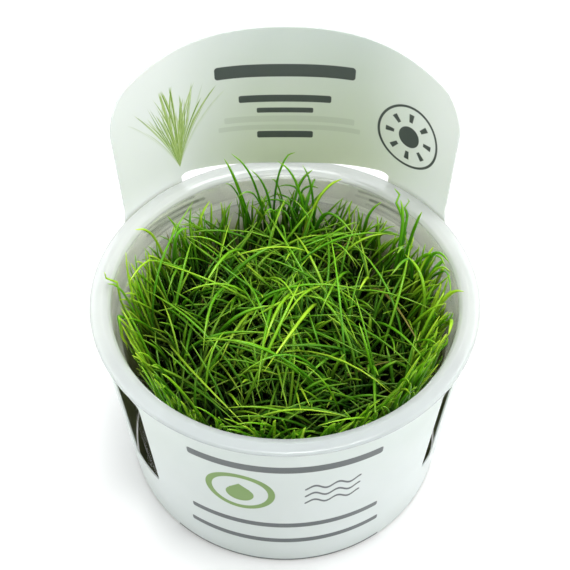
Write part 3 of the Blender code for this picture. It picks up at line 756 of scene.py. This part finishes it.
def hairgrassLiving():
    # Living hairgrass: waxy and narrow, bright yellow-green, with painted light on tips near the wall and painted
    # shade that darkens the lower parts towards the gel, olive at the base, with a soft gleam along each blade
    material, tree, shader = startMaterial("hairgrassLiving", {
        "IOR": 1.42,
        "Subsurface Weight": 0.12,
        "Subsurface Radius": (0.6, 1.0, 0.2),
        "Subsurface Scale": 0.6 * mm,
        "Specular IOR Level": 0.5,
        "Specular Tint": (0.95, 1.0, 0.85, 1.0),
    })
    blade = addNode(tree, "ShaderNodeUVMap", {"uv_map": "bladeMap"})
    parts = addNode(tree, "ShaderNodeSeparateXYZ", None, {0: blade.outputs[0]})
    tone, share = parts.outputs[0], parts.outputs[1]
    place = addNode(tree, "ShaderNodeTexCoord").outputs["Object"]

    along = setStops(addNode(tree, "ShaderNodeValToRGB", None, {0: share}), grass["alongStops"])
    tones = setStops(addNode(tree, "ShaderNodeValToRGB", None, {0: tone}), grass["toneStops"])
    mixed = addNode(tree, "ShaderNodeMix", {"data_type": "RGBA"}, {0: 0.45, 6: along, 7: tones})

    # mottling along the blades, about 4 mm
    mottle = addNode(tree, "ShaderNodeTexNoise", None, {"Vector": place, "Scale": 1 / (4 * mm), "Detail": 2.0})
    lift = addNode(tree, "ShaderNodeMapRange", None, {
        "Value": mottle.outputs[0], "From Min": 0.25, "From Max": 0.75, "To Min": 0.85, "To Max": 1.15})
    shaded = addNode(tree, "ShaderNodeHueSaturation", None, {"Color": mixed.outputs[2], "Value": lift.outputs[0]})

    # painted shade: the lower parts are darker
    height = addNode(tree, "ShaderNodeSeparateXYZ", None, {0: place}).outputs[2]
    deepest, shallow = grass["deepHeights"]
    depth = addNode(tree, "ShaderNodeMapRange", None, {
        "Value": height, "From Min": deepest * mm, "From Max": shallow * mm, "To Min": 0.93, "To Max": 0.0})
    deep = addNode(tree, "ShaderNodeMix", {"data_type": "RGBA"},
                   {0: depth.outputs[0], 6: shaded.outputs[0], 7: toLinear(grass["deepShadeColour"])})

    # dead blades have a tone over 1.2, roots one under -0.2
    dead = addNode(tree, "ShaderNodeMath", {"operation": "GREATER_THAN"}, {0: tone, 1: 1.2})
    dried = addNode(tree, "ShaderNodeMix", {"data_type": "RGBA"},
                    {0: dead.outputs[0], 6: deep.outputs[2], 7: toLinear("#7A7434")})
    root = addNode(tree, "ShaderNodeMath", {"operation": "LESS_THAN"}, {0: tone, 1: -0.2})
    colour = addNode(tree, "ShaderNodeMix", {"data_type": "RGBA"},
                     {0: root.outputs[0], 6: dried.outputs[2], 7: toLinear("#DAD6BC")})
    tree.links.new(colour.outputs[2], shader.inputs["Base Color"])
    rough = addNode(tree, "ShaderNodeMapRange", None, {
        "Value": mottle.outputs[0], "From Min": 0.3, "From Max": 0.7, "To Min": 0.2, "To Max": 0.34})
    dull = addNode(tree, "ShaderNodeMath", {"operation": "MULTIPLY_ADD"},
                   {0: depth.outputs[0], 1: 0.45, 2: rough.outputs[0]})
    tree.links.new(dull.outputs[0], shader.inputs["Roughness"])
    return material


def traceBlades(node):
    # centre points of each blade of a CAD tuft in mm, root first, read from its rings of three
    net = bmesh.new()
    net.from_mesh(node.data)
    bmesh.ops.remove_doubles(net, verts=net.verts[:], dist=0.001 * mm)
    traces = []
    for tip in net.verts:
        if len(tip.link_edges) != 3 or tip.co.z < 20 * mm:
            continue
        ring = {edge.other_vert(tip) for edge in tip.link_edges}
        seen = {tip} | ring
        points = [tip.co / mm]
        while len(ring) == 3:
            centre = sum((vert.co for vert in ring), Vector()) / 3
            points.append(centre / mm)
            if centre.z < 17 * mm:
                break
            ring = {edge.other_vert(vert) for vert in ring for edge in vert.link_edges} - seen
            seen |= ring
        traces.append(points[::-1])
    net.free()
    return traces


def smoothLine(points, count):
    # a Catmull-Rom curve through the points, with count places evenly spread over it
    points = np.array([tuple(point) for point in points])
    padded = np.vstack((2 * points[0] - points[1], points, 2 * points[-1] - points[-2]))
    spans = len(points) - 1
    samples = []
    for value in np.linspace(0, spans, count):
        index = min(int(value), spans - 1)
        t = value - index
        a, b, c, d = padded[index:index + 4]
        samples.append(0.5 * (2 * b + (c - a) * t + (2 * a - 5 * b + 4 * c - d) * t * t
                              + (3 * b - a - 3 * c + d) * t ** 3))
    return np.array(samples)


def bendLines(root, knee, tip, count):
    t = np.linspace(0, 1, count)[None, :, None]
    return root[:, None] * (1 - t) ** 2 + knee[:, None] * 2 * t * (1 - t) + tip[:, None] * t * t


def keepInCup(lines):
    # blades that meet the wall are held by it and run along it
    radius = np.hypot(lines[..., 0], lines[..., 1])
    height = lines[..., 2]
    low = cup["baseRadius"] - cup["wall"] + (cup["ledgeStep"] - 0.1) * height / cup["ledgeHeight"]
    free = np.where(height > cup["height"] + 1.0, sleeve["hookRadius"] - 0.8, cup["mouthRadius"] - 0.6)
    limit = np.where(height < cup["ledgeHeight"], low, free) - grass["wallClearance"]
    scale = np.minimum(1.0, limit / np.maximum(radius, 0.01))
    lines[..., 0] *= scale
    lines[..., 1] *= scale
    return lines


def rootsRound(source, centre, side):
    count = len(side)
    spread = side * source.uniform(0.2, 1.0, count)[:, None] * grass["rootSpread"]
    return np.column_stack((centre[:2] + spread, np.full(count, grass["rootHeight"])))


def sinkIntoHollows(place, height):
    # tips that end over a hollow stay lower
    for across, back, radius in grass["hollows"]:
        off = np.hypot(place[:, 0] - across, place[:, 1] - back) / radius
        height = height - grass["hollowDrop"] * np.clip(1.0 - off ** 2, 0.0, 1.0)
    return np.maximum(height, grass["rootHeight"] + 4.0)


def fillerLines(source, centre, growth, count, reach, tipHeight, bendOut, bendUp):
    lean = source.uniform(0, math.tau, count * 12)
    side = np.stack((np.cos(lean), np.sin(lean)), 1)
    away = source.uniform(*reach, count * 12)[:, None]
    inside = np.hypot(*(centre[:2] + side * away).T) < grass["farthestTip"]
    side, away = side[inside][:count], away[inside][:count]
    count = len(side)
    height = sinkIntoHollows(centre[:2] + side * away, source.uniform(*tipHeight, count) * growth)
    tip = np.column_stack((centre[:2] + side * away, height))
    rise = (height - grass["rootHeight"]) * source.uniform(*bendUp, count) + grass["rootHeight"]
    sideways = side[:, ::-1] * (1, -1) * away * source.uniform(-grass["sway"], grass["sway"], count)[:, None]
    bend = centre[:2] + side * away * source.uniform(*bendOut, count)[:, None] + sideways
    return bendLines(rootsRound(source, centre, side), np.column_stack((bend, rise)), tip, grass["rings"])


def outerLines(source, centre, count, radius, tipHeight, spread, fromRadius):
    # blades of the tufts near the wall that stand up along it, lower at the back
    if math.hypot(centre[0], centre[1]) < fromRadius:
        count = 0
    turn = math.atan2(centre[1], centre[0]) + np.radians(source.uniform(-spread, spread, count))
    side = np.stack((np.cos(turn), np.sin(turn)), 1)
    away = source.uniform(*radius, count)[:, None]
    height = source.uniform(*tipHeight, count)
    height = np.where(side[:, 1] > 0.4, np.minimum(height, grass["backHeight"]), height)
    tip = np.column_stack((side * away, height))
    sideways = side[:, ::-1] * (1, -1) * source.uniform(-1.0, 1.0, count)[:, None] * grass["sway"] * 20.0
    out = source.uniform(0.55, 0.98, count)[:, None]
    bend = centre[:2] * (1.0 - out) + side * away * out + sideways * (1.1 - out)
    knee = np.column_stack((bend, height * source.uniform(0.75, 1.0, count)))
    return bendLines(rootsRound(source, centre, side), knee, tip, grass["rings"])


def siblingLines(source, line):
    # thinner blades from the same crown that lean a little differently and stay lower
    tall = int(line[-1, 2] > grass["tallTip"])
    count = grass["siblings"][tall]
    share = np.linspace(0, 1, len(line))[None, :, None]
    spread = grass["siblingSpread"][tall] * np.linalg.norm(line[-1] - line[0])
    shift = source.normal(0.0, spread, (count, 1, 3))
    shift[..., 2] = -np.abs(shift[..., 2]) * 1.2
    start = source.uniform(-0.6, 0.6, (count, 1, 3)) * (1.0, 1.0, 0.0)
    return line[None] + start * (1 - share) + shift * share ** 1.5


def rootLines(source, centre, count):
    lean = source.uniform(0, math.tau, count)
    side = np.stack((np.cos(lean), np.sin(lean)), 1)
    start = np.column_stack((centre[:2] + side * 0.8, np.full(count, grass["rootHeight"])))
    depth = grass["rootHeight"] - source.uniform(*grass["rootDepth"], count)
    end = np.column_stack((centre[:2] + side * source.uniform(*grass["rootReach"], count)[:, None], depth))
    knee = np.column_stack((start[:, :2], depth + 1.0))
    return keepInCup(bendLines(start, knee, end, grass["rings"]))


def bladeTubes(lines, radii, tones):
    # one closed tapering tube per line: points, faces, and a tone and share for each point
    count, rings, _ = lines.shape
    sides = grass["sides"]
    heading = np.gradient(lines, axis=1)
    heading /= np.linalg.norm(heading, axis=2, keepdims=True)
    across = np.cross(heading[:, 0], (0.37, 0.59, 0.72))
    points = np.empty((count, rings, sides, 3))
    share = np.linspace(0, 1, rings)
    taper = np.minimum(1.0, 0.75 + 1.5 * share) * (1 - (1 - grass["tipShare"]) * share ** grass["taper"])
    for ring in range(rings):
        across -= heading[:, ring] * (across * heading[:, ring]).sum(1, keepdims=True)
        across /= np.linalg.norm(across, axis=1, keepdims=True)
        other = np.cross(heading[:, ring], across)
        for side in range(sides):
            turn = math.tau * side / sides
            spoke = across * math.cos(turn) + other * math.sin(turn) * 0.7
            points[:, ring, side] = lines[:, ring] + spoke * (radii * taper[ring])[:, None]
    index = np.arange(count * rings * sides).reshape(count, rings, sides)
    following = np.roll(index, -1, axis=2)
    walls = np.stack((index[:, :-1], following[:, :-1], following[:, 1:], index[:, 1:]), 3).reshape(-1, 4)
    ends = np.concatenate((index[:, 0, ::-1], index[:, -1]))
    marks = np.empty((count, rings, sides, 2))
    marks[..., 0] = tones[:, None, None]
    marks[..., 1] = share[None, :, None]
    return points.reshape(-1, 3), np.concatenate((walls, ends)), marks.reshape(-1, 2)


def makeTuft(name, node, material, source):
    lines, radii = [], []
    for trace in traceBlades(node):
        line = smoothLine(trace, grass["rings"])
        lines.append(line[None])
        radii.append(source.uniform(*grass["mainRadius"], 1))
        siblings = siblingLines(source, line)
        lines.append(siblings)
        radii.append(source.uniform(*grass["fineRadius"], len(siblings)))
    crown = np.mean([line[0, 0] for line in lines[::2]], axis=0)
    growth = source.uniform(*grass["tuftHeight"])
    for form in ("leaning", "arching", "crossing", "low"):
        lines.append(fillerLines(source, crown, growth, *grass[form]))
        radii.append(source.uniform(*grass["fineRadius"], len(lines[-1])))
    lines.append(outerLines(source, crown, *grass["outer"]))
    radii.append(source.uniform(*grass["fineRadius"], len(lines[-1])))
    lines = keepInCup(np.concatenate(lines))
    radii = np.concatenate(radii)
    tones = source.beta(*grass["toneShape"], len(lines)) + source.uniform(-1, 1) * grass["tuftTone"]
    # painted light: tips near the wall at both sides get a lighter tone, where light comes through the wall
    tip = lines[:, -1]
    lit = (np.hypot(tip[:, 0], tip[:, 1]) > grass["litFrom"]) & (np.abs(tip[:, 1]) < grass["litReach"])
    tones = np.clip(tones + lit * grass["litTone"], 0.0, 1.0)
    tones[source.random(len(lines)) < grass["deadShare"]] = 1.5
    roots = rootLines(source, crown, grass["roots"])
    lines = np.concatenate((lines, roots))
    radii = np.concatenate((radii, np.full(len(roots), grass["rootRadius"])))
    tones = np.concatenate((tones, np.full(len(roots), -0.5)))
    points, faces, marks = bladeTubes(lines, radii, tones)
    pieceName = name.replace("tuft", "grassTuft")
    mesh = bpy.data.meshes.new(pieceName)
    mesh.from_pydata((points * mm).tolist(), [], faces.tolist())
    mesh.shade_smooth()
    corners = np.empty(len(mesh.loops), dtype=np.int64)
    mesh.loops.foreach_get("vertex_index", corners)
    layer = mesh.uv_layers.new(name="bladeMap")
    layer.data.foreach_set("uv", marks[corners].ravel())
    finishPiece(newObject(pieceName, mesh), material, [name])
    return len(lines)


def makeGrass():
    material = hairgrassLiving()
    names = sorted(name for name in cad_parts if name.startswith("tuft_"))
    blades = 0
    for index, name in enumerate(names):
        source = np.random.default_rng(grass["seed"] + index)
        blades += makeTuft(name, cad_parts[name], material, source)
    print("grass made,", blades, "blades and roots in", len(names), "tufts")


makeGrass()


# Floor, light and camera
studio = {
    "floorSize": 3.0,
    "floorColour": "#F6F7F7",
    "floorGlow": 0.1,
    "shadedFloor": 36.4,
    "shadedColour": "#4E5432",
    "worldColour": "#FFFFFF",
    "worldStrength": 0.58,
    "keyPlace": (0.05, 0.05, 0.60),
    "keySize": 0.25,
    "keyPower": 2.6,
    "fillPlace": (0.55, -0.15, 0.30),
    "fillSize": 0.3,
    "fillPower": 1.5,
    "leftPlace": (-0.55, -0.10, 0.30),
    "leftPower": 0.9,
    "aim": (0.0, 0.0, 0.050),
    "distance": 0.180,
    "elevation": 48.5,
    "sensor": 36.0,
    "lens": 55.24,
}


def paperSweep():
    # White paper on a light table, matt: an even pale ground with faint shadows
    material, tree, shader = startMaterial("paperSweep", {"Roughness": 0.9})
    place = addNode(tree, "ShaderNodeTexCoord").outputs["Object"]
    fibres = addNode(tree, "ShaderNodeTexNoise", None, {"Vector": place, "Scale": 1 / (4 * mm), "Detail": 3.0})
    colour = addNode(tree, "ShaderNodeMix", {"data_type": "RGBA"},
                     {0: fibres.outputs[0], 6: toLinear("#F3F4F4"), 7: toLinear(studio["floorColour"])})
    # painted shade with green from the grass on the little of it that shows between the cup and the sleeve
    away = addNode(tree, "ShaderNodeVectorMath", {"operation": "LENGTH"}, {0: place}).outputs["Value"]
    reach = studio["shadedFloor"] * mm
    unshaded = addNode(tree, "ShaderNodeMapRange", None, {"Value": away, "From Min": reach - 0.2 * mm, "From Max": reach})
    colour = addNode(tree, "ShaderNodeMix", {"data_type": "RGBA"}, {
        0: unshaded.outputs[0], 6: toLinear(studio["shadedColour"]), 7: colour.outputs[2]})
    tree.links.new(colour.outputs[2], shader.inputs["Base Color"])
    glow = addNode(tree, "ShaderNodeMath", {"operation": "MULTIPLY"}, {0: unshaded.outputs[0], 1: studio["floorGlow"]})
    tree.links.new(glow.outputs[0], shader.inputs["Emission Strength"])
    shader.inputs["Emission Color"].default_value = (1.0, 1.0, 1.0, 1.0)
    return material


def makeFloor():
    mesh = bpy.data.meshes.new("floor")
    half = studio["floorSize"] / 2
    mesh.from_pydata([(-half, -half, 0), (half, -half, 0), (half, half, 0), (-half, half, 0)], [], [(0, 1, 2, 3)])
    floor = newObject("floor", mesh)
    mesh.materials.append(paperSweep())


def makeLight(name, place, size, power):
    data = bpy.data.lights.new(name, "AREA")
    data.size = size
    data.energy = power
    light = newObject(name, data)
    light.location = place
    light.rotation_euler = (Vector(studio["aim"]) - Vector(place)).to_track_quat("-Z", "Y").to_euler()


def makeWorld():
    world = bpy.data.worlds.new("studioWorld")
    scene.world = world
    world.use_nodes = True
    background = world.node_tree.nodes["Background"]
    background.inputs["Color"].default_value = toLinear(studio["worldColour"])
    background.inputs["Strength"].default_value = studio["worldStrength"]


def makeCamera():
    data = bpy.data.cameras.new("camera")
    data.sensor_width = studio["sensor"]
    data.lens = studio["lens"]
    data.clip_start = 0.005
    camera = newObject("camera", data)
    rise = math.radians(studio["elevation"])
    back = Vector((0.0, -math.cos(rise), math.sin(rise)))
    camera.location = Vector(studio["aim"]) + back * studio["distance"]
    camera.rotation_euler = (-back).to_track_quat("-Z", "Y").to_euler()
    scene.camera = camera


makeFloor()
makeWorld()
makeLight("keyLight", studio["keyPlace"], studio["keySize"], studio["keyPower"])
makeLight("fillLight", studio["fillPlace"], studio["fillSize"], studio["fillPower"])
makeLight("leftLight", studio["leftPlace"], studio["fillSize"], studio["leftPower"])
makeCamera()
scene.view_settings.view_transform = "Standard"
print("studio made")
